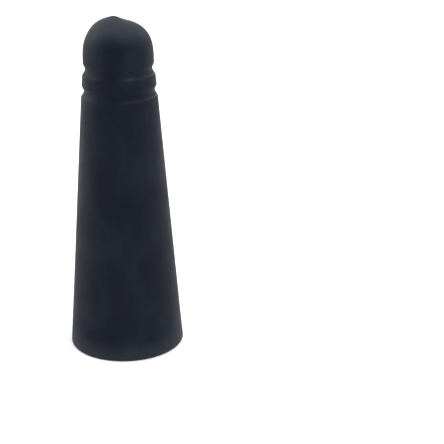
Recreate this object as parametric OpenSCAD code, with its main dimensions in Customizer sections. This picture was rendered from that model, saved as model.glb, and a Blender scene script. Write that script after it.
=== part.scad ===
// Short stub antenna for 2.4 GHz with a coaxial screw plug sunk in its base.
// Millimetres, +Z up from the base rim to the domed tip, origin at the centre of the base.

/* [Housing] */
// Outside diameter of the base rim
base_d = 14.8; // [14.2:0.1:18]
// Outside diameter at the lower groove
shoulder_d = 9.4; // [9:0.1:12]
// Outside diameter at the upper groove
tip_d = 8.88; // [8.6:0.02:9.2]
// Distance from the upper groove to the tip
tip_h = 6; // [5.8:0.1:8]
// Distance between the two grooves
groove_pitch = 2.7; // [2:0.1:4]
// Height of one groove
groove_w = 1.5; // [0.8:0.1:1.8]
// Depth of one groove
groove_depth = 0.3; // [0.1:0.02:0.4]
// Squareness of the dome's shoulder, 2 is an ellipse
dome_shoulder = 3.2; // [2:0.1:3.6]
// Squareness of the dome's crown, 2 is an ellipse
dome_crown = 2.06; // [1.8:0.02:2.6]
// Height of the low button that the moulding gate leaves on the dome
gate_h = 0.38; // [0.2:0.02:0.5]
// Radius of the gate button's ball
gate_r = 3.4; // [2:0.1:3.6]
// Distance of the gate button from the axis
gate_offset = 0.6; // [0:0.1:0.8]
// Radius of the rim's outer edge
rim_r = 0.25; // [0.1:0.05:0.6]
// Diameter of the recess in the base
recess_d = 11.6; // [10.8:0.1:12.4]
// Depth of the recess
recess_depth = 4.4; // [4.2:0.1:5.4]
// Chamfer at the mouth of the recess
mouth_chamfer = 0.2; // [0.1:0.05:0.4]
// Room round the plug's flange at the lower end of the tapered cavity
cavity_room = 0.22; // [0.15:0.01:0.4]
// Room round the heat-shrink tube at the upper end of the tapered cavity
cavity_top_room = 0.58; // [0.3:0.02:0.8]
// Room left in the socket above the spigot
socket_room = 1.2; // [0.6:0.1:2]
// Thickness of the tip above the socket, which sets the overall height
tip_wall = 3.35; // [2.5:0.05:12]

/* [Coupling nut] */
// Wall of the nut between its flats and the snap ring's groove
nut_wall = 0.35; // [0.3:0.01:0.6]
// Length of the nut
nut_len = 7.4; // [6:0.1:9]
// How far the nut's lip stands out of its pocket
nut_proud = 0.2; // [0.1:0.05:0.4]
// How much smaller the flat lip is than the nut across its flats
nut_lip_trim = 0.14; // [0.06:0.02:0.6]
// Room between the gasket and the major diameter of the thread
gasket_room = 0.23; // [0.15:0.01:0.4]
// Lead-in chamfer at the mouth of the thread
thread_lead = 0.3; // [0.1:0.05:0.4]
// Depth of the snap ring's groove in the nut
nut_groove_depth = 0.32; // [0.24:0.02:0.36]

/* [Plug] */
// Distance from the nut's lip to the face of the outer contact
contact_inset = 2.8; // [2.4:0.1:3.2]
// Outside diameter of the outer contact
contact_d = 4.6; // [4.4:0.01:4.8]
// Wall of the outer contact
contact_wall = 0.24; // [0.2:0.02:0.3]
// Distance from the outer contact's face to the flange
contact_len = 2.3; // [2.1:0.1:2.6]
// How far the turning flange is wider than the thread, so that it can't come out at the front
flange_step = 0.1; // [0.08:0.01:0.2]
// How far the flange stands out of the back of the nut
flange_proud = 0.2; // [0.1:0.05:0.5]
// Height of the collar that the gasket sits on, above the outer contact
collar_w = 0.2; // [0.16:0.01:0.3]
// Thickness of the gasket at the flange
gasket_t = 0.65; // [0.5:0.05:0.8]
// Radial width of the gasket
gasket_w = 0.43; // [0.3:0.01:0.5]
// How far the gasket stands in front of its collar, to be squeezed
gasket_proud = 0.17; // [0.1:0.01:0.19]
// Thickness of the snap ring
ring_t = 0.5; // [0.4:0.02:0.56]
// Radial width of the snap ring
ring_w = 0.5; // [0.44:0.02:0.54]
// Angle of the snap ring's gap
ring_gap = 44; // [20:2:80]
// Diameter of the pin's mating end
pin_d = 0.92; // [0.9:0.01:0.94]
// Diameter of the pin's body in the insulator
pin_body_d = 1.27; // [1.2:0.01:1.3]
// How far the pin reaches past the outer contact's face
pin_reach = 2.35; // [2:0.05:2.5]
// Length of the pin's rounded nose
pin_nose = 0.45; // [0.3:0.05:0.6]
// How far the pin's shoulder lies behind the insulator's face
pin_shoulder_inset = 0.15; // [0.05:0.05:0.4]
// Thickness of the body behind the insulator
back_wall = 0.8; // [0.5:0.1:1.2]
// Depth of the solder cup in the pin's end
cup_depth = 1.3; // [0.9:0.1:1.6]
// Length of the crimp stem behind the flange
stem_len = 3.0; // [2.6:0.1:3.4]
// Wall of the crimp stem
stem_wall = 0.2; // [0.15:0.01:0.25]
// Outside diameter of the crimp sleeve
crimp_d = 3.25; // [3.1:0.05:3.5]
// How far the crimp sleeve reaches past the stem, over the cable's jacket
crimp_lap = 1.5; // [1:0.1:2.5]

/* [Cable] */
// Diameter of the cable's core wire
core_d = 0.51; // [0.48:0.01:0.54]
// Diameter over the dielectric
dielectric_d = 1.52; // [1.46:0.02:1.56]
// Thickness of the braid
braid_t = 0.2; // [0.16:0.01:0.22]
// Thickness of the jacket
jacket_t = 0.25; // [0.2:0.01:0.3]
// Bare length of dielectric above the braid
dielectric_bare = 0.2; // [0.1:0.05:0.3]

/* [Radiator] */
// Length of the brass sleeve
sleeve_len = 8.0; // [7:0.1:8.6]
// Outside diameter of the brass sleeve
sleeve_d = 4.8; // [4.4:0.1:5]
// Wall of the brass sleeve
sleeve_wall = 0.2; // [0.15:0.01:0.3]
// Gap between the crimp sleeve and the brass sleeve
sleeve_rise = 0.6; // [0.3:0.1:1]
// Length of the spacer bead in the brass sleeve
spacer_len = 1.6; // [1:0.1:2.2]
// How far the spacer bead sits inside the brass sleeve
spacer_inset = 0.4; // [0.2:0.1:1]
// Height of the solder fillet on top of the brass sleeve
fillet_h = 0.35; // [0.2:0.05:0.45]
// Bare core wire between the dielectric and the coil's solder bead
feed_room = 0.23; // [0.1:0.01:1]
// Radius of the solder bead that joins the coil to the core wire
bead_r = 0.5; // [0.42:0.02:0.56]
// Length of the coil former between its faces
former_len = 7.5; // [6.5:0.1:8]
// How deep the coil lies below the rims of the former's flanges
coil_cover = 0.18; // [0.1:0.02:0.4]
// Thickness of the coil former's end flanges
former_flange_t = 0.5; // [0.4:0.05:0.8]
// How far the core wire reaches into the former
core_grip = 0.8; // [0.5:0.1:1.2]
// Diameter of the coil wire
wire_d = 0.5; // [0.4:0.02:0.56]
// Number of turns of the coil
coil_turns = 5; // [3:1:6]
// Radius of the bends in the coil's tail
tail_bend = 0.35; // [0.3:0.05:0.45]
// Diameter of the spigot on the former's tip
spigot_d = 1.8; // [1.6:0.05:2.2]
// Length of the spigot in its socket
spigot_len = 3.2; // [2.4:0.1:4]
// Wall of the heat-shrink tube
shrink_t = 0.2; // [0.15:0.01:0.25]
// How far the heat-shrink tube reaches down over the brass sleeve
shrink_lap = 2.0; // [1:0.1:3]

/* [Fits] */
// Clearance of surfaces that turn on each other
turn_gap = 0.05; // [0.02:0.01:0.08]
// Clearance of pieces that are pushed, crimped or soldered together
seat_gap = 0.02; // [0.01:0.005:0.03]
// Clearance between the coil former and the roof of the cavity
free_gap = 0.4; // [0.3:0.05:0.6]

/* [Hidden] */
$fn = 96;

// How far a cutting shape runs past the face that it opens
cut = 1;
// Straight steps in the dome, a groove, the rim's edge, the pin's nose and the coil's bends
dome_steps = 28;
groove_steps = 12;
rim_steps = 6;
nose_steps = 6;
bend_steps = 4;
// Steps in one turn of the coil, and sides of its wire
turn_steps = 24;
wire_sides = 10;

// Heights of the plug, counted up from the recess's floor
nut_face_z = recess_depth - nut_proud;
nut_top_z = nut_face_z + nut_len;
contact_z = nut_face_z + contact_inset;
flange_z = contact_z + contact_len;
flange_top_z = nut_top_z + flange_proud;
gasket_z = flange_z - gasket_t;
collar_z = gasket_z + gasket_proud;
insulator_top_z = flange_top_z - back_wall;
pin_tip_z = contact_z - pin_reach;
pin_shoulder_z = contact_z + pin_shoulder_inset;
cup_z = insulator_top_z - cup_depth;

// Radii of the plug, counted out from the outer contact to the nut's flats
contact_r = contact_d / 2;
contact_bore_r = contact_r - contact_wall;
collar_r = contact_r + collar_w;
gasket_bore_r = collar_r + seat_gap;
gasket_r = gasket_bore_r + gasket_w;
thread_r = gasket_r + gasket_room;
flange_r = thread_r + flange_step;
nut_bore_r = flange_r + turn_gap;
nut_flats = 2 * (nut_bore_r + nut_groove_depth + nut_wall);
nut_lip_r = nut_flats / 2 - nut_lip_trim / 2;

// Snap ring, halfway along the flange's bearing, held in the nut's groove and free of the flange's
groove_h = ring_t + 2 * turn_gap;
groove_z = (flange_z + nut_top_z - groove_h) / 2;
ring_outer_r = nut_bore_r + nut_groove_depth - turn_gap;
ring_inner_r = ring_outer_r - ring_w;

// Cable, from the pin's cup to the coil former
core_r = core_d / 2;
cup_r = core_r + 2 * seat_gap + 0.08;
dielectric_r = dielectric_d / 2;
braid_bore_r = dielectric_r + seat_gap;
braid_r = braid_bore_r + braid_t;
jacket_bore_r = braid_r + seat_gap;
jacket_r = jacket_bore_r + jacket_t;
stem_bore_r = dielectric_r + seat_gap;
stem_r = stem_bore_r + stem_wall;
stem_top_z = flange_top_z + stem_len;
flare_bore_r = stem_r + seat_gap;
flare_r = flare_bore_r + braid_t;
crimp_bore_r = max(flare_r, jacket_r) + seat_gap;
crimp_top_z = stem_top_z + crimp_lap;
jacket_z = (stem_top_z + crimp_top_z) / 2;

// Radiator
sleeve_r = sleeve_d / 2;
sleeve_z = crimp_top_z + sleeve_rise;
sleeve_top_z = sleeve_z + sleeve_len;
braid_top_z = sleeve_top_z + fillet_h;
tail_z = braid_top_z + dielectric_bare + feed_room + bead_r;
former_z = tail_z + bead_r + seat_gap;
former_top_z = former_z + former_len;
wire_r = wire_d / 2;
coil_r = sleeve_r - coil_cover - wire_r;
former_r = coil_r - wire_r - seat_gap;
coil_z = former_z + former_flange_t + seat_gap + wire_r;
coil_rise = former_len - 2 * (former_flange_t + seat_gap + wire_r);

// Housing
base_r = base_d / 2;
recess_r = recess_d / 2;
cavity_r = flange_r + cavity_room;
cavity_top_r = sleeve_r + seat_gap + shrink_t + cavity_top_room;
cavity_top_z = former_top_z + free_gap;
socket_top_z = cavity_top_z + spigot_len + socket_room;
height = socket_top_z + tip_wall;
upper_groove_z = height - tip_h;
lower_groove_z = upper_groove_z - groove_pitch;
dome_z = upper_groove_z + groove_w / 2;

// Radius of the bare cone at height z, without its grooves and rim
function cone_r(z) =
    z < lower_groove_z
        ? base_r + (shoulder_d / 2 - base_r) * z / lower_groove_z
        : shoulder_d / 2 + (tip_d - shoulder_d) / 2 * (z - lower_groove_z) / groove_pitch;

// Rounded outer edge of the base rim
function rim_points() = [
    for (i = [0 : rim_steps])
        let (a = 90 * i / rim_steps)
        [cone_r(rim_r) - rim_r + rim_r * sin(a), rim_r - rim_r * cos(a)]
];

// Rounded groove of cosine section centred at height middle_z
function groove_points(middle_z) = [
    for (i = [0 : groove_steps])
        let (t = i / groove_steps - 0.5, z = middle_z + t * groove_w)
        [cone_r(z) - groove_depth * (1 + cos(360 * t)) / 2, z]
];

// Dome, a superellipse from the top of the upper groove to the tip
function dome_points() = [
    for (i = [1 : dome_steps])
        let (a = 90 * i / dome_steps)
        [
            i == dome_steps ? 0 : cone_r(dome_z) * pow(cos(a), 2 / dome_crown),
            dome_z + (height - dome_z) * pow(sin(a), 2 / dome_shoulder)
        ]
];

// Elliptical nose of the pin, from its tip to the mating diameter
function nose_points() = [
    for (i = [0 : nose_steps])
        let (a = 90 * i / nose_steps)
        [pin_d / 2 * sin(a), pin_tip_z + pin_nose * (1 - cos(a))]
];

// Middle line of the coil wire: in from the core wire, up through the notch, then round the former
function tail_path() = concat(
    [[core_r + seat_gap, 0, tail_z]],
    [
        for (i = [0 : bend_steps])
            let (a = 90 * i / bend_steps)
            [coil_r - tail_bend * (1 - sin(a)), 0, tail_z + tail_bend * (1 - cos(a))]
    ],
    [
        for (i = [0 : bend_steps])
            let (a = 90 * i / bend_steps)
            [coil_r, tail_bend * (1 - cos(a)), coil_z - tail_bend * (1 - sin(a))]
    ]
);
function turns_path() =
    let (first = ceil(asin(tail_bend / coil_r) * turn_steps / 360) + 1, last = coil_turns * turn_steps)
    [
        for (i = [first : last])
            let (a = 360 * i / turn_steps)
            [coil_r * cos(a), coil_r * sin(a), coil_z + coil_rise * (i - first) / (last - first)]
    ];

// Unit vector along v
function unit(v) = v / norm(v);

// Direction of a path at its point i
function heading(path, i) = unit(path[min(i + 1, len(path) - 1)] - path[max(i - 1, 0)]);

// Part of v across the direction d, at unit length
function across(v, d) = unit(v - (v * d) * d);

// Side vectors of a path, each carried over from the one before so that the wire doesn't twist
function side_vectors(path) = [
    for (i = 0, side = across([0, 0, 1], heading(path, 0));
         i < len(path);
         i = i + 1, side = i < len(path) ? across(side, heading(path, i)) : side)
        side
];

// Round wire along a path
module wire(path, r, sides) {
    side = side_vectors(path);
    rings = [
        for (i = [0 : len(path) - 1])
            for (k = [0 : sides - 1])
                let (a = 360 * k / sides, other = cross(heading(path, i), side[i]))
                path[i] + r * cos(a) * side[i] + r * sin(a) * other
    ];
    walls = [
        for (i = [0 : len(path) - 2])
            for (k = [0 : sides - 1])
                let (low = i * sides, next = (k + 1) % sides)
                [low + k, low + sides + k, low + sides + next, low + next]
    ];
    last = (len(path) - 1) * sides;
    start_cap = [[for (k = [0 : sides - 1]) k]];
    end_cap = [[for (k = [sides - 1 : -1 : 0]) last + k]];
    polyhedron(points = rings, faces = concat(walls, start_cap, end_cap), convexity = 8);
}

// Solid round bar from height z0 to z1
module bar(r, z0, z1) {
    translate([0, 0, z0])
        cylinder(h = z1 - z0, r = r);
}

// Round bar whose radius runs from r0 at height z0 to r1 at z1
module taper(r0, r1, z0, z1) {
    translate([0, 0, z0])
        cylinder(h = z1 - z0, r1 = r0, r2 = r1);
}

// Ring of rectangular section
module ring(outer_r, inner_r, z0, z1) {
    difference() {
        bar(outer_r, z0, z1);
        bar(inner_r, z0 - cut, z1 + cut);
    }
}

// Hexagonal bar with two flats facing along X
module hex_bar(flats, z0, z1) {
    translate([0, 0, z0])
        rotate([0, 0, 30])
            cylinder(h = z1 - z0, d = flats / cos(30), $fn = 6);
}

// Outside of the housing, filled
module housing_form() {
    rotate_extrude()
        polygon(concat(
            [[0, 0]],
            rim_points(),
            groove_points(lower_groove_z),
            groove_points(upper_groove_z),
            dome_points()
        ));
    translate([-gate_offset, 0, height + gate_h - gate_r])
        sphere(r = gate_r);
}

// What the mould's core leaves open: recess, hexagonal pocket, tapered cavity and spigot socket
module housing_core() {
    bar(recess_r, -cut, recess_depth);
    taper(recess_r + mouth_chamfer + cut, recess_r, -cut, mouth_chamfer);
    hex_bar(nut_flats + 2 * seat_gap, recess_depth - cut, nut_top_z);
    taper(cavity_r, cavity_top_r, nut_top_z - cut, cavity_top_z);
    bar(spigot_d / 2 + turn_gap, cavity_top_z - cut, socket_top_z);
}

// One moulded piece that is the grip, the cover and the drive for the nut
module housing() {
    color([0.11, 0.13, 0.17])
        difference() {
            housing_form();
            housing_core();
        }
}

// Hexagonal nut with its corners turned off at the lip
module coupling_nut() {
    color([0.82, 0.83, 0.84])
        difference() {
            intersection() {
                hex_bar(nut_flats, nut_face_z, nut_top_z);
                taper(nut_lip_r, nut_lip_r + nut_len, nut_face_z, nut_top_z);
            }
            bar(thread_r, nut_face_z - cut, nut_top_z);
            taper(thread_r + thread_lead + cut, thread_r, nut_face_z - cut, nut_face_z + thread_lead);
            bar(nut_bore_r, flange_z - turn_gap, nut_top_z + cut);
            bar(nut_bore_r + nut_groove_depth, groove_z, groove_z + groove_h);
        }
}

// Open spring ring that lets the nut turn but not come off
module snap_ring() {
    color([0.72, 0.6, 0.4])
        translate([0, 0, groove_z + turn_gap])
            rotate([0, 0, ring_gap / 2])
                rotate_extrude(angle = 360 - ring_gap)
                    translate([ring_inner_r, 0])
                        square([ring_w, ring_t]);
}

// Turned body: outer contact, collar, turning flange and crimp stem
module connector_body() {
    color([0.78, 0.78, 0.77])
        difference() {
            union() {
                bar(contact_r, contact_z, flange_z + cut);
                bar(collar_r, collar_z, flange_z + cut);
                bar(flange_r, flange_z, flange_top_z);
                bar(stem_r, flange_top_z - cut, stem_top_z);
            }
            bar(contact_bore_r, contact_z - cut, insulator_top_z);
            bar(stem_bore_r, insulator_top_z - cut, stem_top_z + cut);
            ring(flange_r + cut, ring_inner_r - turn_gap, groove_z, groove_z + groove_h);
        }
}

// Soft ring on the collar that seals the plug against the socket
module nut_gasket() {
    color([0.7, 0.68, 0.64])
        ring(gasket_r, gasket_bore_r, gasket_z, flange_z);
}

module contact_insulator() {
    color([0.93, 0.93, 0.92])
        ring(contact_bore_r - seat_gap, pin_body_d / 2 + seat_gap, contact_z, insulator_top_z);
}

// Stepped pin with a rounded nose and a solder cup
module centre_pin() {
    color([0.83, 0.68, 0.3])
        rotate_extrude()
            polygon(concat(
                nose_points(),
                [
                    [pin_d / 2, pin_shoulder_z],
                    [pin_body_d / 2, pin_shoulder_z],
                    [pin_body_d / 2, insulator_top_z],
                    [cup_r, insulator_top_z],
                    [cup_r, cup_z],
                    [0, cup_z]
                ]
            ));
}

module pin_solder() {
    color([0.75, 0.76, 0.78])
        ring(cup_r - seat_gap, core_r + seat_gap, cup_z, insulator_top_z);
}

module crimp_sleeve() {
    color([0.76, 0.76, 0.74])
        ring(crimp_d / 2, crimp_bore_r, flange_top_z, crimp_top_z);
}

module coax_core() {
    color([0.85, 0.83, 0.78])
        bar(core_r, cup_z, former_z + core_grip);
}

module coax_dielectric() {
    color([0.93, 0.93, 0.9])
        ring(dielectric_r, core_r + seat_gap, insulator_top_z, braid_top_z + dielectric_bare);
}

// Braid, flared over the crimp stem and soldered at the top of the brass sleeve
module coax_braid() {
    color([0.7, 0.71, 0.72])
        rotate_extrude()
            polygon([
                [flare_bore_r, flange_top_z],
                [flare_r, flange_top_z],
                [flare_r, stem_top_z],
                [braid_r, jacket_z],
                [braid_r, braid_top_z],
                [braid_bore_r, braid_top_z],
                [braid_bore_r, jacket_z],
                [flare_bore_r, stem_top_z]
            ]);
}

module coax_jacket() {
    color([0.55, 0.4, 0.28])
        ring(jacket_r, jacket_bore_r, jacket_z + seat_gap, sleeve_top_z - sleeve_wall);
}

// Brass tube that is the antenna's lower arm, closed at the top where the braid is soldered
module ground_sleeve() {
    color([0.8, 0.66, 0.36])
        difference() {
            bar(sleeve_r, sleeve_z, sleeve_top_z);
            bar(sleeve_r - sleeve_wall, sleeve_z - cut, sleeve_top_z - sleeve_wall);
            bar(jacket_bore_r, sleeve_z, sleeve_top_z + cut);
        }
}

module sleeve_spacer() {
    low_z = sleeve_z + spacer_inset;
    color([0.9, 0.9, 0.88])
        ring(sleeve_r - sleeve_wall - seat_gap, jacket_r + seat_gap, low_z, low_z + spacer_len);
}

// Fillet of solder round the braid
module sleeve_solder() {
    color([0.75, 0.76, 0.78])
        difference() {
            taper(jacket_bore_r + fillet_h, jacket_bore_r + fillet_h / 4, sleeve_top_z, braid_top_z);
            bar(jacket_bore_r, sleeve_top_z - cut, braid_top_z + cut);
        }
}

// Moulded former with two flanges, a notch for the coil's tail and a spigot that turns in the housing
module coil_former() {
    notch_w = wire_d + tail_bend;
    color([0.85, 0.85, 0.82])
        difference() {
            union() {
                bar(former_r, former_z, former_top_z);
                bar(sleeve_r, former_z, former_z + former_flange_t);
                bar(sleeve_r, former_top_z - former_flange_t, former_top_z);
                bar(spigot_d / 2, former_top_z - cut, cavity_top_z + spigot_len);
            }
            bar(core_r + seat_gap, former_z - cut, former_z + core_grip + seat_gap);
            translate([former_r, -notch_w / 2, former_z - cut])
                cube([sleeve_r, notch_w, former_flange_t + 2 * cut]);
        }
}

module radiator_coil() {
    color([0.78, 0.5, 0.28])
        wire(concat(tail_path(), turns_path()), wire_r, wire_sides);
}

// Bead of solder round the core wire and the end of the coil's tail
module coil_solder() {
    color([0.75, 0.76, 0.78])
        difference() {
            translate([0, 0, tail_z])
                sphere(r = bead_r);
            bar(core_r + seat_gap, tail_z - bead_r - cut, tail_z + bead_r + cut);
            translate([0, 0, tail_z])
                rotate([0, 90, 0])
                    cylinder(h = bead_r + cut, r = wire_r + seat_gap);
        }
}

module shrink_tube() {
    bore_r = sleeve_r + seat_gap;
    color([0.12, 0.12, 0.13])
        ring(bore_r + shrink_t, bore_r, sleeve_top_z - shrink_lap, former_top_z);
}

housing();
coupling_nut();
snap_ring();
connector_body();
nut_gasket();
contact_insulator();
centre_pin();
pin_solder();
crimp_sleeve();
coax_core();
coax_dielectric();
coax_braid();
coax_jacket();
ground_sleeve();
sleeve_spacer();
sleeve_solder();
coil_former();
radiator_coil();
coil_solder();
shrink_tube();
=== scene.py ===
"""Stub wifi antenna: a grooved, tapered rubber housing with a coaxial screw plug sunk in its base.

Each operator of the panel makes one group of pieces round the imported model, in metres and in its frame:
+Z runs from the base rim to the domed tip, and the origin is the centre of the rim.
"""

import math

import bmesh
import bpy
from mathutils import Matrix, Vector


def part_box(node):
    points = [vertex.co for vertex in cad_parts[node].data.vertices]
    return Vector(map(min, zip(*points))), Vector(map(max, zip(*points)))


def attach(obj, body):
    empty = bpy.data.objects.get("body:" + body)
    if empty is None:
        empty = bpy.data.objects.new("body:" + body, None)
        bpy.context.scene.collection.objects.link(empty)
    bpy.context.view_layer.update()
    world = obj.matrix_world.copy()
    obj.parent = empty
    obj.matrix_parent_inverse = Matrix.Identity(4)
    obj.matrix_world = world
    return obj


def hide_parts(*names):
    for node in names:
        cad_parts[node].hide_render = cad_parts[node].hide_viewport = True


bl_info = {
    "name": "Stub Wifi Antenna",
    "version": (1, 0, 0),
    "blender": (4, 5, 0),
    "location": "3D View > Sidebar > Antenna",
    "description": "Builds a short wifi antenna with a rubber housing and a coaxial screw plug",
    "category": "Add Mesh",
}

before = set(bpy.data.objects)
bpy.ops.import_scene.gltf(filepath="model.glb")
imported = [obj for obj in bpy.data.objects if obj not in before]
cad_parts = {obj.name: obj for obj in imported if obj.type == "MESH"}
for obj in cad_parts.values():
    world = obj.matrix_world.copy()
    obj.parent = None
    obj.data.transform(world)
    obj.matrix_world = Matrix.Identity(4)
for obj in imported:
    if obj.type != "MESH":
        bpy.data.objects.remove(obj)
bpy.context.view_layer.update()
MM = 0.001
TURN = 2 * math.pi


def corners(node):
    """Lowest and highest corner of a CAD piece at rest, in millimetres."""
    return tuple(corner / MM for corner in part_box(node))


HOUSING_HIGH = corners("housing")[1]
NUT_LOW, NUT_HIGH = corners("coupling_nut")
BODY_LOW, BODY_HIGH = corners("connector_body")
DISC_HIGH = corners("contact_insulator")[1]
PIN_LOW, PIN_HIGH = corners("centre_pin")
CUP_LOW, CUP_HIGH = corners("pin_solder")
RING_LOW, RING_HIGH = corners("snap_ring")
GASKET_LOW, GASKET_HIGH = corners("nut_gasket")
CRIMP_LOW, CRIMP_HIGH = corners("crimp_sleeve")
DIELECTRIC_HIGH = corners("coax_dielectric")[1]
FORMER_HIGH = corners("coil_former")[1]
SHRINK_HIGH = corners("shrink_tube")[1]

# All sizes below are in millimetres. Gaps between pieces that sit in, turn in or keep clear of each other
SEAT_GAP, TURN_GAP, FREE_GAP = 0.02, 0.05, 0.4

# Housing: its outside, and the low gate button with the nub on it
RIM_ROUNDING, LOWER_GROOVE_RADIUS, UPPER_GROOVE_RADIUS = 0.25, 4.7, 4.44
BUTTON_RADIUS, BUTTON_OFFSET, BUTTON_BLEND = 3.4, -0.6, 0.06
NUB_HEIGHT, NUB_RADIUS, NUB_OFFSET = 0.14, 0.6, -0.38
# Fullness of the dome's crown and shoulder, where 2 is an ellipse, and of the grooves, where 1 is a cosine
DOME_CROWN, DOME_SHOULDER, GROOVE_FULLNESS = 2.06, 3.2, 0.62

# Housing: recess, pocket for the nut, cavity for the radiator and socket for the former's spigot
RECESS_RADIUS, RECESS_FLOOR, MOUTH_CHAMFER = 5.8, NUT_LOW.z + 0.2, 0.2
POCKET_FLAT, POCKET_TOP = NUT_HIGH.x + SEAT_GAP, NUT_HIGH.z
CAVITY_FOOT, CAVITY_HEAD, CAVITY_TOP = BODY_HIGH.x + 0.22, SHRINK_HIGH.x + 0.58, SHRINK_HIGH.z + FREE_GAP
SOCKET_RADIUS, SOCKET_TOP = 0.95, FORMER_HIGH.z + 1.2

# Coupling nut
NUT_FLAT, NUT_LIP, NUT_MOUTH = NUT_HIGH.x, NUT_HIGH.x - 0.07, 3.74
THREAD_RADIUS, THREAD_TOP = BODY_HIGH.x - 0.1, GASKET_LOW.z - 0.2
BEARING_RADIUS, BEARING_FOOT = BODY_HIGH.x + TURN_GAP, GASKET_HIGH.z - TURN_GAP
RING_GROOVE_LOW, RING_GROOVE_HIGH = RING_LOW.z - TURN_GAP, RING_HIGH.z + TURN_GAP
NUT_GROOVE_RADIUS = NUT_FLAT - 0.35
# How tightly a hexagon's outline keeps to its flats at the eased corners
HEXAGON_TIGHTNESS = 40

# Plug: outer contact, collar under the gasket, flange with the ring's groove, and stem that holds the cable
CONTACT_RADIUS, CONTACT_BORE = 2.3, DISC_HIGH.x + SEAT_GAP
COLLAR_RADIUS, COLLAR_LOW = CONTACT_RADIUS + 0.2, GASKET_LOW.z + 0.17
FLANGE_RADIUS, FLANGE_TOP, BODY_GROOVE_RADIUS = BODY_HIGH.x, CRIMP_LOW.z, 3.05
STEM_RADIUS, STEM_BORE = DIELECTRIC_HIGH.x + SEAT_GAP + 0.2, DIELECTRIC_HIGH.x + SEAT_GAP

# Insulator and pin
DISC_BORE = PIN_HIGH.x + SEAT_GAP
PIN_RADIUS, PIN_NOSE, PIN_STRAIGHT, PIN_SHOULDER = 0.46, 0.45, 5.2, BODY_LOW.z + 0.15
CUP_RADIUS = CUP_HIGH.x + SEAT_GAP


# ---------------------------------------------------------------- sizes and colours


class HousingSettings(bpy.types.PropertyGroup):
    base_diameter: bpy.props.FloatProperty(
        name="Base diameter", description="Outside diameter of the base rim", default=14.8 * MM, unit="LENGTH")
    gate_height: bpy.props.FloatProperty(
        name="Gate button", description="Height of the low button that the moulding gate leaves on the dome",
        default=0.38 * MM, unit="LENGTH")
    lower_groove_height: bpy.props.FloatProperty(
        name="Lower groove", description="Height of the lower groove above the rim", default=33.65 * MM, unit="LENGTH")
    upper_groove_height: bpy.props.FloatProperty(
        name="Upper groove", description="Height of the upper groove above the rim", default=36.35 * MM, unit="LENGTH")
    groove_width: bpy.props.FloatProperty(
        name="Groove width", description="Height of one groove", default=1.5 * MM, unit="LENGTH")
    groove_depth: bpy.props.FloatProperty(
        name="Groove depth", description="Depth of one groove", default=0.3 * MM, unit="LENGTH")
    rubber: bpy.props.FloatVectorProperty(
        name="Rubber", description="Colour of the housing's rubber", default=(0.0012, 0.003, 0.0094),
        subtype="COLOR", min=0, max=1)
    grain: bpy.props.FloatProperty(
        name="Grain", description="Size of one pit of the moulded grain", default=0.14 * MM, unit="LENGTH")


class PlugSettings(bpy.types.PropertyGroup):
    thread_pitch: bpy.props.FloatProperty(
        name="Thread pitch", description="Distance between two turns of the nut's thread",
        default=0.7056 * MM, unit="LENGTH")
    thread_depth: bpy.props.FloatProperty(
        name="Thread depth", description="Depth of the nut's thread", default=0.33 * MM, unit="LENGTH")
    nickel: bpy.props.FloatVectorProperty(
        name="Nickel", description="Colour of the plated nut and plug body", default=(0.72, 0.715, 0.69),
        subtype="COLOR", min=0, max=1)
    gold: bpy.props.FloatVectorProperty(
        name="Gold", description="Colour of the plated centre pin", default=(0.78, 0.56, 0.2),
        subtype="COLOR", min=0, max=1)
    insulator: bpy.props.FloatVectorProperty(
        name="Insulator", description="Colour of the white insulator", default=(0.86, 0.86, 0.84),
        subtype="COLOR", min=0, max=1)


class RadiatorSettings(bpy.types.PropertyGroup):
    brass: bpy.props.FloatVectorProperty(
        name="Brass", description="Colour of the brass sleeve", default=(0.62, 0.43, 0.16),
        subtype="COLOR", min=0, max=1)
    enamel: bpy.props.FloatVectorProperty(
        name="Enamelled copper", description="Colour of the coil's wire", default=(0.58, 0.22, 0.09),
        subtype="COLOR", min=0, max=1)
    tin: bpy.props.FloatVectorProperty(
        name="Tin", description="Colour of braid and solder", default=(0.6, 0.6, 0.6),
        subtype="COLOR", min=0, max=1)


class StageSettings(bpy.types.PropertyGroup):
    floor: bpy.props.FloatVectorProperty(
        name="Floor", description="Colour of the floor and backdrop", default=(0.9, 0.9, 0.9),
        subtype="COLOR", min=0, max=1)
    glow: bpy.props.FloatProperty(
        name="Wall glow", description="Light that the cove's wall gives by itself", default=0.37, min=0)
    sky: bpy.props.FloatProperty(
        name="Surrounding light", description="Strength of the even light from above", default=0.45, min=0)
    overhead: bpy.props.FloatProperty(
        name="Overhead softbox", description="Power of the softbox above", default=2.2, unit="POWER")
    key: bpy.props.FloatProperty(
        name="Key softbox", description="Power of the large softbox at the left", default=1.8, unit="POWER")
    fill: bpy.props.FloatProperty(
        name="Fill softbox", description="Power of the softbox at the right", default=0.7, unit="POWER")
    front: bpy.props.FloatProperty(
        name="Front softbox", description="Power of the small softbox at the right front", default=0.7, unit="POWER")


# ---------------------------------------------------------------- shader maths


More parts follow.
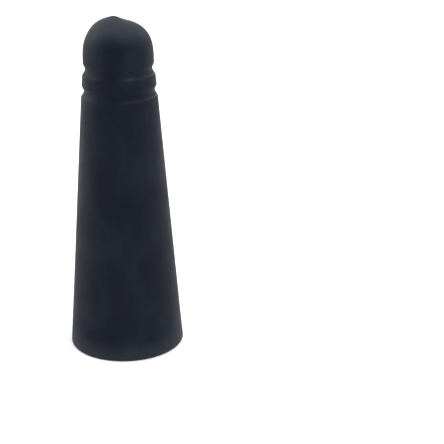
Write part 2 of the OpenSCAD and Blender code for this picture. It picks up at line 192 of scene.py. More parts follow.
class Signal:
    """What comes out of a node, used like a number in ordinary sums."""

    def __init__(self, finish, socket):
        self.finish, self.socket = finish, socket

    def _maths(self, operation, *values):
        """The result of one Math node."""
        return self.finish.node("ShaderNodeMath", {"operation": operation}, dict(enumerate(values)))

    def __add__(self, other):
        return self._maths("ADD", self, other)

    def __radd__(self, other):
        return self._maths("ADD", other, self)

    def __sub__(self, other):
        return self._maths("SUBTRACT", self, other)

    def __rsub__(self, other):
        return self._maths("SUBTRACT", other, self)

    def __mul__(self, other):
        return self._maths("MULTIPLY", self, other)

    def __rmul__(self, other):
        return self._maths("MULTIPLY", other, self)

    def __truediv__(self, other):
        return self._maths("DIVIDE", self, other)

    def __rtruediv__(self, other):
        return self._maths("DIVIDE", other, self)

    def __pow__(self, other):
        return self._maths("POWER", self, other)

    def __rpow__(self, other):
        return self._maths("POWER", other, self)

    def __abs__(self):
        return self._maths("ABSOLUTE", self)


class Finish:
    """A material being made: its nodes, and the shader that they feed."""

    def __init__(self, name, constants):
        self.material = bpy.data.materials.new(name)
        self.material.use_nodes = True
        self.tree = self.material.node_tree
        self.shader = self.tree.nodes["Principled BSDF"]
        for socket, value in constants.items():
            self.shader.inputs[socket].default_value = value
        self.point = self.node("ShaderNodeTexCoord", {}, {}, "Object")

    def node(self, kind, settings, sockets, output=0):
        """A node of that type, with its settings and then its sockets, as the signal that leaves it."""
        made = self.tree.nodes.new(kind)
        for key, value in settings.items():
            setattr(made, key, value)
        for key, value in sockets.items():
            self.link(made.inputs[key], value)
        return Signal(self, made.outputs[output])

    def link(self, socket, value):
        """Links a signal to a socket, or sets the socket to a number or colour."""
        if isinstance(value, Signal):
            self.tree.links.new(value.socket, socket)
        elif hasattr(socket.default_value, "__len__") and len(socket.default_value) == 4:
            socket.default_value = (*value[:3], 1)
        else:
            socket.default_value = value

    def feed(self, **values):
        """Feeds the shader, with _ for each space in a socket's name, and hands over the finished material."""
        for key, value in values.items():
            self.link(self.shader.inputs[key.replace("_", " ")], value)
        return self.material

    def axis(self, number):
        """One coordinate of the point on the piece, in millimetres: 0, 1 or 2 for X, Y or Z."""
        return self.node("ShaderNodeSeparateXYZ", {}, {0: self.point}, number) / MM

    def radius(self):
        """Distance from the antenna's axis, in millimetres."""
        x, y = self.axis(0), self.axis(1)
        return (x * x + y * y) ** 0.5

    def heading(self):
        """Angle round the antenna's axis, in turns from -0.5 to 0.5."""
        return self.node("ShaderNodeMath", {"operation": "ARCTAN2"}, {0: self.axis(1), 1: self.axis(0)}) / TURN

    def wave(self, value):
        """Sine of a value in turns."""
        return self.node("ShaderNodeMath", {"operation": "SINE"}, {0: value * TURN})

    def noise(self, size_mm, detail=2, rough=0.5, stretch=(1, 1, 1), place=None):
        """Cloudy noise from 0 to 1, whose clouds are about size_mm across."""
        spread = self.node("ShaderNodeVectorMath", {"operation": "MULTIPLY"}, {0: place or self.point, 1: stretch})
        return self.node("ShaderNodeTexNoise", {"noise_dimensions": "3D"},
                         {"Vector": spread, "Scale": 1 / (size_mm * MM), "Detail": detail, "Roughness": rough})

    def cells(self, size_mm):
        """Distance from the middle of the nearest of many cells, each about size_mm across."""
        return self.node("ShaderNodeTexVoronoi", {"voronoi_dimensions": "3D"},
                         {"Vector": self.point, "Scale": 1 / (size_mm * MM)}, "Distance")

    def rings(self, distance_mm, size_mm, detail=2, rough=0.6):
        """Noise that changes with one distance only, such as the rings that a lathe leaves."""
        place = self.node("ShaderNodeCombineXYZ", {}, {0: distance_mm * MM})
        return self.noise(size_mm, detail, rough, (1, 1, 1), place)

    def mask(self, value, low, high):
        """0 where value is at low or beyond it, 1 at high or beyond it, smooth between."""
        return self.node("ShaderNodeMapRange", {"interpolation_type": "SMOOTHSTEP"},
                         {"Value": value, "From Min": low, "From Max": high, "To Min": 0.0, "To Max": 1.0})

    def band(self, value, middle, half, soft):
        """1 within half of the middle, fading to 0 over soft."""
        return 1 - self.mask(abs(value - middle), half, half + soft)

    def mix(self, share, first, second):
        """Colour between first and second."""
        return self.node("ShaderNodeMix", {"data_type": "RGBA"}, {0: share, 6: first, 7: second}, 2)

    def bump(self, height, depth_mm, strength=0.5):
        """Normal of a surface whose relief is height times depth_mm."""
        return self.node("ShaderNodeBump", {}, {"Height": height, "Distance": depth_mm * MM, "Strength": strength})


def shade(colour, factor):
    """A colour made lighter or darker by a factor."""
    return tuple(min(1.0, c * factor) for c in colour)


def groove_heights(settings):
    """Heights of the lower and the upper groove above the rim, in millimetres."""
    return settings.lower_groove_height / MM, settings.upper_groove_height / MM


# ---------------------------------------------------------------- finishes


def soft_rubber(settings):
    """Blue-black rubber with a fine moulded grain and a faint parting line, worn smoother where it is handled; painted
    highlights on the crown and foot and painted shade in the grooves.
    """
    f = Finish("soft_rubber", {"IOR": 1.45, "Specular IOR Level": 0.125})
    grain_mm = settings.grain / MM
    x, y, z, r = f.axis(0), f.axis(1), f.axis(2), f.radius()
    pits = f.cells(grain_mm)
    fine = f.noise(grain_mm * 0.45, 3, 0.6)
    cloud = f.noise(3.2, 4, 0.55)
    streak = f.noise(1.3, 3, 0.6, (1, 1, 0.12))
    seam, tip = math.radians(-53), HOUSING_HIGH.z
    lower, upper = groove_heights(settings)
    # Wear and painted highlight: crown and rim's edge worn smoother all round and painted lighter, and each groove's
    # lower lip polished on the side of the thumb
    wear_and_painted_highlight = f.mask(z, tip - 2.13, tip - 0.13) * 0.6 + (1 - f.mask(z, 0.05, 0.7)) * 0.5
    # Painted shade: a darker band along each groove, where shade falls in it
    painted_groove_shade = f.band(z, lower, 0.15, 0.5) + f.band(z, upper, 0.15, 0.5)
    polished = f.band(z, lower - 0.5, 0.03, 0.09) + f.band(z, upper - 0.5, 0.03, 0.09)
    polished = polished * f.mask(x * 0.6 - y * 0.8, 1.0, 3.4) * (0.6 + 0.8 * cloud)
    inside = 1 - f.mask(r, RECESS_RADIUS + 0.15, RECESS_RADIUS + 0.3)
    inside = inside * (1 - f.mask(z, RECESS_FLOOR - 0.05, RECESS_FLOOR + 0.1))
    parting = f.band(x * math.sin(seam) - y * math.cos(seam), 0, 0.03, 0.09) * (1 - inside)
    # Painted light: the rubber lighter towards the foot, as light bounced from the floor makes it
    painted_foot_light = (1 - f.mask(z, -0.6, 3.2)) * (1 - inside) * (0.6 + 0.5 * cloud)
    # Painted highlight: the crown lighter, as the light from above makes it
    crown = f.mask(z, tip - 3.53, tip - 0.33) * (0.7 + 0.6 * cloud)
    # Colour, from the rubber itself to what lies on it, with painted highlights on the crown and foot and painted
    # shade in the grooves
    tone = f.mix(cloud * 0.5 + streak * 0.5, shade(settings.rubber, 0.86), shade(settings.rubber, 1.16))
    # Painted highlight: the crown and the rim's edge turned to a lighter rubber
    tone = f.mix(wear_and_painted_highlight * (0.35 + 0.5 * cloud), tone, shade(settings.rubber, 1.5))
    # Painted shade in the grooves
    tone = f.mix(painted_groove_shade * 0.18, tone, shade(settings.rubber, 0.45))
    # Painted light: foot and crown mixed towards a pale grey
    tone = f.mix(painted_foot_light * 0.15 + crown * 0.14, tone, (0.12, 0.138, 0.165))
    smudge = f.mask(f.noise(4.5, 4, 0.6, (1, 1, 0.6)), 0.42, 0.68) * (1 - inside)
    scratch = f.mask(f.noise(0.22, 2, 0.5, (1, 1, 0.07)), 0.66, 0.74) * smudge
    tone = f.mix(smudge * 0.024 + scratch * 0.04, tone, (0.09, 0.13, 0.17))
    dust = f.mask(f.noise(0.5, 5, 0.7), 0.66, 0.76) * f.mask(cloud, 0.42, 0.6)
    tone = f.mix(dust * 0.14, tone, (0.16, 0.16, 0.17))
    return f.feed(
        Base_Color=tone,
        Roughness=0.62 + 0.2 * (cloud - 0.5) + 0.06 * (fine - 0.5) + 0.06 * dust
        - 0.05 * smudge - 0.12 * wear_and_painted_highlight - 0.22 * polished - 0.08 * inside,
        Normal=f.bump(pits * 0.7 + fine * 0.4 + streak * 0.25 + parting, 0.016, 0.7),
    )


def turned_plate(name, colour, seat_mm, roughness=0.16):
    """Plated metal off a lathe: fine rings round the axis, hairlines, and a little tarnish near the height seat_mm."""
    f = Finish(name, {"Metallic": 1.0, "IOR": 1.5})
    z, r = f.axis(2), f.radius()
    rings = f.rings(r + z * 0.7, 0.05)
    hair = f.noise(0.4, 3, 0.6, (1, 1, 0.1))
    cloud = f.noise(1.6, 4, 0.6)
    dull = f.mask(cloud, 0.45, 0.75) * 0.5 + f.band(z, seat_mm, 0.2, 1.2) * 0.35
    tone = f.mix(dull, colour, shade(colour, 0.72))
    return f.feed(
        Base_Color=tone,
        Roughness=roughness + 0.1 * (rings - 0.5) + 0.14 * dull + 0.05 * hair,
        Normal=f.bump(rings + hair * 0.3, 0.004),
    )


def gold_plate(colour):
    """Gold on the pin, with turning rings and a nose polished by use."""
    f = Finish("gold_plate", {"Metallic": 1.0, "IOR": 1.5})
    z = f.axis(2)
    rings = f.rings(z, 0.04)
    cloud = f.noise(0.6, 4, 0.6)
    used = 1 - f.mask(z, PIN_LOW.z + 0.3, PIN_LOW.z + 1.2)
    tone = f.mix(used * 0.4 + cloud * 0.3, colour, shade(colour, 1.22))
    return f.feed(
        Base_Color=f.mix(f.mask(cloud, 0.6, 0.75) * 0.4, tone, (0.52, 0.4, 0.2)),
        Roughness=0.24 - 0.08 * used + 0.08 * (rings - 0.5) + 0.06 * cloud,
        Normal=f.bump(rings, 0.003),
    )


def white_fluoroplastic(colour):
    """Waxy white plastic cut on a lathe, with tool rings and a slight cloudiness."""
    f = Finish("insulator_plastic", {
        "IOR": 1.38, "Specular IOR Level": 0.45, "Subsurface Weight": 0.08, "Subsurface Scale": 0.0006,
        "Subsurface Radius": (1.0, 0.9, 0.8)})
    z, r = f.axis(2), f.radius()
    rings = f.rings(r + z, 0.07, 2, 0.55)
    cloud = f.noise(1.1, 4, 0.6)
    tone = f.mix(cloud, shade(colour, 0.94), shade(colour, 1.04))
    tone = f.mix(f.mask(f.noise(0.35, 4, 0.7), 0.66, 0.78) * 0.3, tone, shade(colour, 0.7))
    return f.feed(Base_Color=tone, Roughness=0.38 + 0.12 * (rings - 0.5) + 0.08 * cloud,
                  Normal=f.bump(rings, 0.006))


def silicone(colour):
    """Soft gasket with a matt, slightly dusty skin."""
    f = Finish("silicone", {"IOR": 1.41, "Specular IOR Level": 0.4})
    cloud, fine = f.noise(0.7, 4, 0.6), f.noise(0.06, 3, 0.6)
    tone = f.mix(cloud, shade(colour, 0.85), shade(colour, 1.08))
    return f.feed(Base_Color=tone, Roughness=0.5 + 0.15 * cloud, Normal=f.bump(fine, 0.008))


def spring_metal(colour):
    """Copper alloy strip, rolled and heat-tinted."""
    f = Finish("spring_metal", {"Metallic": 1.0})
    roll = f.noise(0.08, 3, 0.6, (1, 1, 6))
    tint = f.noise(1.2, 4, 0.6)
    tone = f.mix(tint, shade(colour, 0.7), shade(colour, 1.1))
    return f.feed(Base_Color=tone, Roughness=0.26 + 0.14 * roll, Normal=f.bump(roll, 0.003))


def solder(name, colour):
    """Solder that froze with a slightly uneven, grainy skin and a trace of flux."""
    f = Finish(name, {"Metallic": 1.0})
    cloud, grains = f.noise(0.5, 4, 0.6), f.cells(0.09)
    flux = f.mask(f.noise(0.35, 3, 0.6), 0.56, 0.7)
    tone = f.mix(cloud, shade(colour, 0.8), shade(colour, 1.15))
    return f.feed(Base_Color=f.mix(flux * 0.5, tone, (0.32, 0.2, 0.08)), Metallic=1 - 0.6 * flux,
                  Roughness=0.2 + 0.2 * cloud + 0.1 * grains,
                  Normal=f.bump(cloud + grains * 0.3, 0.03, 0.6))


def crimped_metal(colour):
    """Plated crimp sleeve with the six flats and the tool's marks pressed in."""
    f = Finish("crimped_metal", {"Metallic": 1.0})
    z = f.axis(2)
    middle = (CRIMP_LOW.z + CRIMP_HIGH.z) / 2
    pressed = f.band(z, middle, 1.5, 0.15)
    flats = abs(f.wave(f.heading() * 3))
    marks = f.wave(z / 0.22) * 0.08
    hair = f.noise(0.3, 3, 0.6, (1, 1, 0.15))
    tone = f.mix(pressed * 0.5 * flats, colour, shade(colour, 0.7))
    return f.feed(Base_Color=f.mix(hair * 0.4, tone, shade(colour, 1.15)),
                  Roughness=0.22 + 0.12 * pressed + 0.1 * hair,
                  Normal=f.bump(pressed * (flats + marks) + hair * 0.06, 0.08, 0.7))


def woven_braid(colour):
    """Tinned copper strands, woven over and under in two directions, with painted shade between the strands."""
    f = Finish("woven_braid", {"Metallic": 1.0})
    z, turn = f.axis(2), f.heading()
    left, right = turn * 8 + z / 0.9, turn * 8 - z / 0.9
    over = f.mask(f.wave(turn * 8 + 0.25) * f.wave(z / 0.9), -0.15, 0.15)
    strands_left = abs(f.wave(left * 2)) ** 0.5
    strands_right = abs(f.wave(right * 2)) ** 0.5
    height = over * strands_left + (1 - over) * strands_right
    cloud = f.noise(0.8, 3, 0.6)
    # Painted shade: the strands darker where they dip between their neighbours
    tone = f.mix(height, shade(colour, 0.35), shade(colour, 1.15))
    return f.feed(Base_Color=f.mix(cloud * 0.3, tone, (0.5, 0.34, 0.22)),
                  Roughness=0.38 - 0.14 * height + 0.1 * cloud,
                  Normal=f.bump(height, 0.05, 0.8))


def extruded_skin(name, colour, rough, speck):
    """Extruded plastic: faint lines along the run, cloudy colour and a few specks."""
    f = Finish(name, {"IOR": 1.45, "Specular IOR Level": 0.5})
    line = f.noise(0.12, 3, 0.6, (1, 1, 0.06))
    cloud = f.noise(1.4, 4, 0.6)
    dots = f.mask(f.noise(0.2, 2, 0.5), 0.7, 0.78)
    tone = f.mix(cloud, shade(colour, 0.86), shade(colour, 1.12))
    return f.feed(Base_Color=f.mix(dots * speck, tone, shade(colour, 0.4)),
                  Roughness=rough + 0.1 * (line - 0.5) + 0.08 * cloud,
                  Normal=f.bump(line + cloud * 0.3, 0.01))


def drawn_metal(name, colour, rough=0.24):
    """Drawn wire or tube: fine scratches along its length and a soft tarnish."""
    f = Finish(name, {"Metallic": 1.0})
    line = f.noise(0.06, 3, 0.65, (1, 1, 0.05))
    cloud = f.noise(1.5, 5, 0.6)
    tone = f.mix(f.mask(cloud, 0.35, 0.75), shade(colour, 1.08), shade(colour, 0.62))
    return f.feed(Base_Color=f.mix(line * 0.25, tone, shade(colour, 1.25)),
                  Roughness=rough + 0.14 * (line - 0.5) + 0.16 * f.mask(cloud, 0.45, 0.8),
                  Normal=f.bump(line, 0.005))


def enamelled_wire(colour):
    """Copper wire under clear enamel, a little uneven in colour."""
    f = Finish("enamelled_wire", {"Metallic": 1.0, "Coat Roughness": 0.08, "Coat IOR": 1.55})
    cloud, fine = f.noise(0.9, 4, 0.6), f.noise(0.08, 3, 0.6)
    tone = f.mix(cloud, shade(colour, 0.75), shade(colour, 1.25))
    return f.feed(Base_Color=tone, Roughness=0.24 + 0.12 * cloud, Coat_Weight=0.5 + 0.4 * cloud,
                  Normal=f.bump(fine, 0.004))


def moulded_plastic(name, colour):
    """Small natural-coloured moulding with a spark-eroded skin."""
    f = Finish(name, {"IOR": 1.5, "Specular IOR Level": 0.45})
    pits, cloud = f.cells(0.08), f.noise(1.2, 4, 0.6)
    tone = f.mix(cloud, shade(colour, 0.88), shade(colour, 1.08))
    return f.feed(Base_Color=tone, Roughness=0.46 + 0.12 * cloud, Normal=f.bump(pits, 0.01))


def shrunk_tube():
    """Heat-shrink tube, drawn tight in faint ripples round what it covers."""
    f = Finish("shrunk_tube", {"IOR": 1.5, "Specular IOR Level": 0.5})
    ripple = f.noise(0.9, 3, 0.5, (0.35, 0.35, 1))
    cloud = f.noise(2.2, 4, 0.6)
    tone = f.mix(cloud, (0.008, 0.008, 0.009), (0.02, 0.02, 0.022))
    return f.feed(Base_Color=tone, Roughness=0.34 + 0.16 * cloud, Normal=f.bump(ripple, 0.06, 0.6))


# ---------------------------------------------------------------- meshes


def rounded(profile, steps=5):
    """Profile of (radius, height, corner radius) points with its corners rounded, as (radius, height) points."""
    count, made = len(profile), []
    for i, (r, z, corner) in enumerate(profile):
        here = Vector((r, z))
        before, after = Vector(profile[i - 1][:2]), Vector(profile[(i + 1) % count][:2])
        if corner <= 0 or r == 0:
            made.append((r, z))
            continue
        back, ahead = (before - here), (after - here)
        reach = min(corner / math.tan(back.angle(ahead) / 2), back.length * 0.49, ahead.length * 0.49)
        start, end = here + back.normalized() * reach, here + ahead.normalized() * reach
        for k in range(steps + 1):
            t = k / steps
            point = start * (1 - t) ** 2 + here * 2 * t * (1 - t) + end * t ** 2
            made.append((point.x, point.y))
    return made


def joined_rings(name, rings, loop):
    """Mesh of rings of points in millimetres, each joined to the next; a ring of one point closes an end."""
    mesh = bmesh.new()
    made = [[mesh.verts.new(Vector(point) * MM) for point in ring] for ring in rings]
    for low, high in zip(made, made[1:] + made[:1] if loop else made[1:]):
        count = max(len(low), len(high))
        for k in range(count):
            n = (k + 1) % count
            edge_low = [low[k], low[n]] if len(low) > 1 else [low[0]]
            edge_high = [high[n], high[k]] if len(high) > 1 else [high[0]]
            mesh.faces.new(edge_low + edge_high)
    bmesh.ops.recalc_face_normals(mesh, faces=mesh.faces)
    for face in mesh.faces:
        face.smooth = True
    data = bpy.data.meshes.new(name)
    mesh.to_mesh(data)
    mesh.free()
    piece = bpy.data.objects.new(name, data)
    bpy.context.scene.collection.objects.link(piece)
    weighted = piece.modifiers.new("even_shading", "WEIGHTED_NORMAL")
    weighted.keep_sharp = True
    weighted.weight = 60
    return piece


def circle(r, z, sides):
    """Ring of points at one height; a radius of nothing gives the one point on the axis."""
    if r == 0:
        return [(0, 0, z)]
    return [(r * math.cos(TURN * k / sides), r * math.sin(TURN * k / sides), z) for k in range(sides)]


def turned_ring(radius, z, sides):
    """Ring of points at one height, whose radius is worked out from the angle."""
    angles = [TURN * k / sides for k in range(sides)]
    return [(radius(a) * math.cos(a), radius(a) * math.sin(a), z) for a in angles]


def lathe(name, profile, sides=144, loop=True):
    """A turned piece: the profile of (radius, height) points, carried round the axis."""
    return joined_rings(name, [circle(r, z, sides) for r, z in profile], loop)


def hexagon_radius(angle, apothem, corner):
    """Distance from the axis to a hexagon with two flats facing along X and its corners eased."""
    off = (angle + TURN / 12) % (TURN / 6) - TURN / 12
    flat = apothem / math.cos(off)
    cut = apothem / math.cos(TURN / 12) - corner
    tight = HEXAGON_TIGHTNESS
    return -math.log(math.exp(-flat * tight) + math.exp(-cut * tight)) / tight


def dress(piece, body, material, *nodes):
    """Gives the piece its finish, lets it ride on its body and stand for its nodes."""
    piece.data.materials.clear()
    piece.data.materials.append(material)
    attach(piece, body)
    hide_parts(*nodes)


# ---------------------------------------------------------------- housing


def cone_radius(z, settings):
    """Radius of the bare cone, without grooves and rim."""
    lower, upper = groove_heights(settings)
    base = settings.base_diameter / MM / 2
    if z < lower:
        return base + (LOWER_GROOVE_RADIUS - base) * z / lower
    return LOWER_GROOVE_RADIUS + (UPPER_GROOVE_RADIUS - LOWER_GROOVE_RADIUS) * (z - lower) / (upper - lower)


def housing_profile(settings):
    """Outline of the housing's outside from the rim's outer edge to the tip."""
    lower, upper = groove_heights(settings)
    width, depth = settings.groove_width / MM, settings.groove_depth / MM
    top = HOUSING_HIGH.z - settings.gate_height / MM
    rim, points = RIM_ROUNDING, []
    for k in range(13):
        a = math.pi / 2 * k / 12
        points.append((cone_radius(rim, settings) - rim + rim * math.sin(a), rim - rim * math.cos(a)))
    for k in range(1, 18):
        z = rim + (lower - width / 2 - rim) * k / 18
        points.append((cone_radius(z, settings), z))
    for middle in (lower, upper):
        for k in range(41):
            t = k / 40 - 0.5
            z = middle + t * width
            sunk = depth * ((1 + math.cos(TURN * t)) / 2) ** GROOVE_FULLNESS
            points.append((cone_radius(z, settings) - sunk, z))
        if middle == lower:
            for k in range(1, 5):
                z = lower + width / 2 + (upper - lower - width) * k / 5
                points.append((cone_radius(z, settings), z))
    foot = upper + width / 2
    for k in range(1, 65):
        a = math.pi / 2 * k / 64
        r = 0 if k == 64 else cone_radius(foot, settings) * math.cos(a) ** (2 / DOME_CROWN)
        points.append((r, foot + (top - foot) * math.sin(a) ** (2 / DOME_SHOULDER)))
    return points


def housing_rings(settings, sides=240):
    """Rings of the whole moulding: outside with the gate button, then recess, hexagonal pocket, cavity and socket."""
    top = HOUSING_HIGH.z - BUTTON_BLEND
    rings = []
    for r, z in reversed(housing_profile(settings)):
        ring = []
        for x, y, height in circle(r, z, sides):
            far = math.hypot(x - BUTTON_OFFSET, y)
            if height > top - 3 and far < BUTTON_RADIUS:
                button = top - BUTTON_RADIUS + math.sqrt(BUTTON_RADIUS ** 2 - far ** 2)
                blend = math.log1p(math.exp(-abs(height - button) / BUTTON_BLEND))
                height = max(height, button) + BUTTON_BLEND * blend
            height += NUB_HEIGHT * math.exp(-(math.hypot(x - NUB_OFFSET, y) / NUB_RADIUS) ** 2)
            ring.append((x, y, height))
        rings.append(ring)
    floor, mouth = RECESS_FLOOR, RECESS_RADIUS + MOUTH_CHAMFER
    # A list's first point only gives the next corner its direction
    for r, z in rounded([(mouth + 0.7, 0, 0), (mouth, 0, 0.12), (RECESS_RADIUS, MOUTH_CHAMFER, 0.2),
                         (RECESS_RADIUS, floor, 0.25), (RECESS_RADIUS - 0.6, floor, 0)])[1:]:
        rings.append(circle(r, z, sides))
    for grow, z in ((0.25, floor), (0.08, floor), (0.02, floor + 0.03), (0, floor + 0.1),
                    (0, (floor + POCKET_TOP) / 2), (0, POCKET_TOP)):
        rings.append(turned_ring(lambda a, grow=grow: hexagon_radius(a, POCKET_FLAT + grow, 0.03), z, sides))
    for r, z in rounded([(CAVITY_FOOT + 0.3, POCKET_TOP, 0), (CAVITY_FOOT, POCKET_TOP, 0.08),
                         (CAVITY_HEAD, CAVITY_TOP, 0.3), (SOCKET_RADIUS, CAVITY_TOP, 0.1),
                         (SOCKET_RADIUS, SOCKET_TOP, 0.2), (0, SOCKET_TOP, 0)]):
        rings.append(circle(r, z, sides))
    return rings


class ANTENNA_OT_housing(bpy.types.Operator):
    """Make the rubber housing with its grooves, dome, recess and hexagonal pocket"""

    bl_idname = "antenna.housing"
    bl_label = "Housing"

    def execute(self, context):
        settings = context.scene.antenna_housing
        piece = joined_rings("housing_moulding", housing_rings(settings), False)
        dress(piece, "shell", soft_rubber(settings), "housing")
        return {"FINISHED"}


# ---------------------------------------------------------------- coupling nut


def nut_rings(settings, sides=180):
    """Rings of the nut: eased hexagon outside, turned-off corners at the lip, thread, bearing and snap ring groove."""
    low, high, lip = NUT_LOW.z, NUT_HIGH.z, NUT_LIP
    pitch, depth = settings.thread_pitch / MM, settings.thread_depth / MM
    rings = [circle(NUT_MOUTH + 0.03, low, sides), circle(lip - 0.05, low, sides),
             circle(lip - 0.015, low + 0.015, sides)]
    for k in range(1, 15):
        rise = 0.75 * k / 14
        rings.append(turned_ring(
            lambda a, rise=rise: min(hexagon_radius(a, NUT_FLAT, 0.05), lip + rise), low + rise, sides))
    for inset, z in ((0, high - 0.06), (0.06, high)):
        rings.append(turned_ring(lambda a, inset=inset: hexagon_radius(a, NUT_FLAT - inset, 0.05), z, sides))
    for r, z in rounded([
            (NUT_FLAT - 0.2, high, 0), (BEARING_RADIUS, high, 0.05), (BEARING_RADIUS, RING_GROOVE_HIGH, 0.02),
            (NUT_GROOVE_RADIUS, RING_GROOVE_HIGH, 0.03), (NUT_GROOVE_RADIUS, RING_GROOVE_LOW, 0.03),
            (BEARING_RADIUS, RING_GROOVE_LOW, 0.02), (BEARING_RADIUS, BEARING_FOOT, 0.03),
            (THREAD_RADIUS, BEARING_FOOT, 0.03), (THREAD_RADIUS, THREAD_TOP + 0.25, 0)], 3)[1:]:
        rings.append(circle(r, z, sides))
    start, end, steps_per_turn = THREAD_TOP, low + 0.02, 14
    count = math.ceil((start - end) / pitch * steps_per_turn)
    for k in range(count + 1):
        z = start + (end - start) * k / count
        lead = min(1.0, (start - z) / 0.35)

        def thread(a, z=z, lead=lead):
            """Radius of the threaded wall: flat crests and roots that run out at the top, in a wide mouth below."""
            turn = ((z / pitch - a / TURN) % 1) * 2 - 1
            ridge = min(1.0, max(0.0, (1 - abs(turn)) * 1.35 - 0.12))
            return max(THREAD_RADIUS - depth * ridge * lead, NUT_MOUTH - (z - low))

        rings.append(turned_ring(thread, z, sides))
    return rings


class ANTENNA_OT_nut(bpy.types.Operator):
    """Make the plated coupling nut with its thread"""

    bl_idname = "antenna.nut"
    bl_label = "Coupling nut"

    def execute(self, context):
        settings = context.scene.antenna_plug
        piece = joined_rings("nut_threaded", nut_rings(settings), True)
        dress(piece, "shell", turned_plate("nut_plate", settings.nickel, NUT_LOW.z), "coupling_nut")
        return {"FINISHED"}


# ---------------------------------------------------------------- plug


class ANTENNA_OT_plug(bpy.types.Operator):
    """Make the plug's turned body, its insulator and its centre pin"""

    bl_idname = "antenna.plug"
    bl_label = "Plug"

    def execute(self, context):
        settings = context.scene.antenna_plug
        face, back, disc_top = BODY_LOW.z, BODY_HIGH.z, DISC_HIGH.z
        body = lathe("plug_body", rounded([
            (CONTACT_BORE, face, 0.03), (CONTACT_RADIUS, face, 0.06), (CONTACT_RADIUS, COLLAR_LOW, 0.02),
            (COLLAR_RADIUS, COLLAR_LOW, 0.03), (COLLAR_RADIUS, GASKET_HIGH.z, 0.02),
            (FLANGE_RADIUS, GASKET_HIGH.z, 0.08), (FLANGE_RADIUS, RING_GROOVE_LOW, 0.03),
            (BODY_GROOVE_RADIUS, RING_GROOVE_LOW, 0.02), (BODY_GROOVE_RADIUS, RING_GROOVE_HIGH, 0.02),
            (FLANGE_RADIUS, RING_GROOVE_HIGH, 0.03), (FLANGE_RADIUS, FLANGE_TOP, 0.1),
            (STEM_RADIUS, FLANGE_TOP, 0.02), (STEM_RADIUS, back, 0.05), (STEM_BORE, back, 0.03),
            (STEM_BORE, disc_top, 0.02), (CONTACT_BORE, disc_top, 0.02)], 4))
        plate = turned_plate("contact_plate", shade(settings.nickel, 1.05), seat_mm=9.0, roughness=0.2)
        dress(body, "core", plate, "connector_body")
        disc = lathe("insulator_disc", rounded([
            (DISC_HIGH.x, face, 0.05), (DISC_HIGH.x, disc_top, 0.05), (DISC_BORE, disc_top, 0.03),
            (DISC_BORE, face, 0.06)], 4))
        dress(disc, "core", white_fluoroplastic(settings.insulator), "contact_insulator")
        low, high, stem = PIN_LOW.z, PIN_HIGH.z, PIN_HIGH.x
        quarter = [math.pi / 2 * k / 14 for k in range(15)]
        nose = [(PIN_RADIUS * math.sin(a), low + PIN_NOSE * (1 - math.cos(a))) for a in quarter]
        rest = rounded([
            (PIN_RADIUS, PIN_STRAIGHT, 0), (PIN_RADIUS, PIN_SHOULDER, 0.02), (stem, PIN_SHOULDER, 0.05),
            (stem, high, 0.04), (CUP_RADIUS, high, 0.03), (CUP_RADIUS, CUP_LOW.z, 0.04), (0, CUP_LOW.z, 0)], 4)
        pin = lathe("pin_turned", nose + rest, 96, False)
        dress(pin, "core", gold_plate(settings.gold), "centre_pin")
        return {"FINISHED"}


# ---------------------------------------------------------------- inside


class ANTENNA_OT_inside(bpy.types.Operator):
    """Give the cable, the radiator and the small plug pieces their finishes"""

    bl_idname = "antenna.inside"
    bl_label = "Cable and radiator"

    def execute(self, context):
        settings, plug = context.scene.antenna_radiator, context.scene.antenna_plug
        finishes = {
            "snap_ring": spring_metal((0.5, 0.34, 0.17)),
            "nut_gasket": silicone((0.4, 0.38, 0.34)),
            "pin_solder": solder("cup_solder", settings.tin),
            "crimp_sleeve": crimped_metal(shade(plug.nickel, 0.9)),
            "coax_core": drawn_metal("silvered_wire", (0.78, 0.74, 0.66), 0.2),
            "coax_dielectric": extruded_skin("white_dielectric", (0.82, 0.82, 0.79), 0.36, 0.1),
            "coax_braid": woven_braid(settings.tin),
            "coax_jacket": extruded_skin("tan_jacket", (0.26, 0.13, 0.06), 0.28, 0.3),
            "ground_sleeve": drawn_metal("brass_tube", settings.brass),
            "sleeve_spacer": moulded_plastic("spacer_plastic", (0.78, 0.78, 0.75)),
            "sleeve_solder": solder("fillet_solder", settings.tin),
            "coil_former": moulded_plastic("former_plastic", (0.68, 0.68, 0.62)),
            "radiator_coil": enamelled_wire(settings.enamel),
            "coil_solder": solder("bead_solder", settings.tin),
            "shrink_tube": shrunk_tube(),
        }
        for node, material in finishes.items():
            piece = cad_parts[node]
            if not piece.material_slots:
                raise RuntimeError(f"{node} has no material slot")
            for slot in piece.material_slots:
                slot.material = material
        return {"FINISHED"}


# ---------------------------------------------------------------- stage


def softbox(name, place, target, size, power):
    """Rectangular white light turned to its target; place, target and size are in metres."""
    light = bpy.data.lights.new(name, "AREA")
    light.shape, light.size, light.size_y = "RECTANGLE", *size
    light.energy = power
    piece = bpy.data.objects.new(name, light)
    piece.location = place
    piece.rotation_euler = (Vector(target) - Vector(place)).to_track_quat("-Z", "Y").to_euler()
    bpy.context.scene.collection.objects.link(piece)


def cove_mesh(radius, bend, height, steps=24, sides=96):
    """Mesh of a round cove, in metres: flat under the antenna, curved up into a wall all round."""
    arc = [math.pi / 2 * k / steps for k in range(1, steps + 1)]
    line = [(0, 0), (radius - bend, 0)]
    line += [(radius - bend + bend * math.sin(a), bend - bend * math.cos(a)) for a in arc]
    line.append((radius, height))
    mesh = bmesh.new()
    rows = [[mesh.verts.new(point) for point in circle(r, z, sides)] for r, z in line]
    for low, high in zip(rows, rows[1:]):
        for k in range(sides):
            n = (k + 1) % sides
            edge = [low[k], low[n]] if len(low) > 1 else [low[0]]
            mesh.faces.new([*edge, high[n], high[k]]).smooth = True
    data = bpy.data.meshes.new("studio_cove")
    mesh.to_mesh(data)
    mesh.free()
    return data


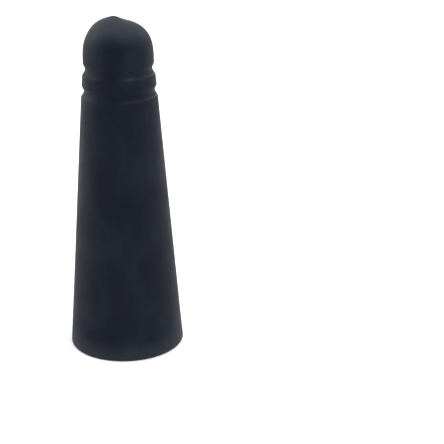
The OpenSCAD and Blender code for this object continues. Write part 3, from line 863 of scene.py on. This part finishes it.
def cove_paint(colour, glow):
    """Matt white paint that glows a little towards the wall, so that it stays pale all round."""
    f = Finish("cove_paint", {"IOR": 1.45, "Specular IOR Level": 0.1, "Emission Strength": 1.0})
    fibre = f.noise(2.0, 4, 0.6)
    far = f.mask(f.radius(), 350, 1000)
    f.material.cycles.emission_sampling = "NONE"
    return f.feed(Base_Color=f.mix(fibre, shade(colour, 0.99), shade(colour, 1.01)),
                  Emission_Color=f.mix(far, (0, 0, 0), (glow, glow, glow)),
                  Roughness=0.9 + 0.05 * fibre, Normal=f.bump(fibre, 0.01, 0.2))


def photo_camera():
    """Camera at the photograph's place, from a fit to the antenna's outline, in millimetres and degrees."""
    away, rise, yaw, pitch, roll = 152.04, *(math.radians(a) for a in (25.615, 4.997, 5.600, -2.418))
    frame_width_px, focal_length_px, sensor_width = 444, 1127.4, 36
    place = Vector((0, -away * math.cos(rise), away * math.sin(rise)))
    ahead = -place.normalized()
    right = ahead.cross(Vector((0, 0, 1))).normalized()
    up = right.cross(ahead)
    ahead, right = ahead * math.cos(yaw) + right * math.sin(yaw), right * math.cos(yaw) - ahead * math.sin(yaw)
    ahead, up = ahead * math.cos(pitch) + up * math.sin(pitch), up * math.cos(pitch) - ahead * math.sin(pitch)
    right, up = right * math.cos(roll) + up * math.sin(roll), up * math.cos(roll) - right * math.sin(roll)
    data = bpy.data.cameras.new("camera")
    data.sensor_width, data.lens = sensor_width, focal_length_px * sensor_width / frame_width_px
    data.clip_start, data.clip_end = 0.005, 20
    camera = bpy.data.objects.new("camera", data)
    turn = Matrix((right, up, -ahead)).transposed().to_4x4()
    camera.matrix_world = Matrix.Translation(place * MM) @ turn
    bpy.context.scene.collection.objects.link(camera)
    bpy.context.scene.camera = camera


class ANTENNA_OT_stage(bpy.types.Operator):
    """Make the pale floor and backdrop, the soft lights and the camera"""

    bl_idname = "antenna.stage"
    bl_label = "Stage"

    def execute(self, context):
        scene, settings = context.scene, context.scene.antenna_stage
        cove = bpy.data.objects.new("studio_cove", cove_mesh(radius=1.5, bend=0.5, height=1.4))
        scene.collection.objects.link(cove)
        cove.location.z = -0.01 * MM  # just clear of the rim
        cove.data.materials.append(cove_paint(settings.floor, settings.glow))
        world = bpy.data.worlds.new("studio")
        world.use_nodes = True
        background = world.node_tree.nodes["Background"].inputs
        background["Color"].default_value, background["Strength"].default_value = (1, 1, 1, 1), settings.sky
        scene.world = world
        softbox("overhead_softbox", (0.0, 0.1, 0.6), (0, 0, 0), (0.7, 0.7), settings.overhead)
        softbox("key_softbox", (-0.4, 0.2, 0.24), (0, 0, 0.02), (0.45, 0.45), settings.key)
        softbox("fill_softbox", (0.42, 0.2, 0.22), (0, 0, 0.02), (0.25, 0.4), settings.fill)
        softbox("front_softbox", (0.175, -0.155, 0.35), (0, 0, 0.03), (0.16, 0.08), settings.front)
        scene.view_settings.view_transform = "Standard"
        photo_camera()
        return {"FINISHED"}


# ---------------------------------------------------------------- panel


class ANTENNA_PT_panel(bpy.types.Panel):
    """Sizes, colours and pieces of the antenna"""

    bl_idname = "ANTENNA_PT_panel"
    bl_label = "Stub antenna"
    bl_space_type = "VIEW_3D"
    bl_region_type = "UI"
    bl_category = "Antenna"

    def draw(self, context):
        for title, key, operators in GROUPS:
            box = self.layout.box()
            box.label(text=title)
            group = getattr(context.scene, key)
            for name in group.__annotations__:
                box.prop(group, name)
            for operator in operators:
                box.operator(operator)


GROUPS = (
    ("Housing", "antenna_housing", ("antenna.housing",)),
    ("Plug", "antenna_plug", ("antenna.nut", "antenna.plug")),
    ("Radiator", "antenna_radiator", ("antenna.inside",)),
    ("Stage", "antenna_stage", ("antenna.stage",)),
)
SETTINGS = {
    "antenna_housing": HousingSettings,
    "antenna_plug": PlugSettings,
    "antenna_radiator": RadiatorSettings,
    "antenna_stage": StageSettings,
}
CLASSES = (
    *SETTINGS.values(),
    ANTENNA_OT_housing,
    ANTENNA_OT_nut,
    ANTENNA_OT_plug,
    ANTENNA_OT_inside,
    ANTENNA_OT_stage,
    ANTENNA_PT_panel,
)


def register():
    for made in CLASSES:
        bpy.utils.register_class(made)
    for key, group in SETTINGS.items():
        setattr(bpy.types.Scene, key, bpy.props.PointerProperty(type=group))


def unregister():
    for key in SETTINGS:
        delattr(bpy.types.Scene, key)
    for made in reversed(CLASSES):
        bpy.utils.unregister_class(made)


def main():
    """Makes the whole scene."""
    register()
    bpy.ops.antenna.stage()
    bpy.ops.antenna.housing()
    bpy.ops.antenna.nut()
    bpy.ops.antenna.plug()
    bpy.ops.antenna.inside()


if __name__ == "__main__":
    main()
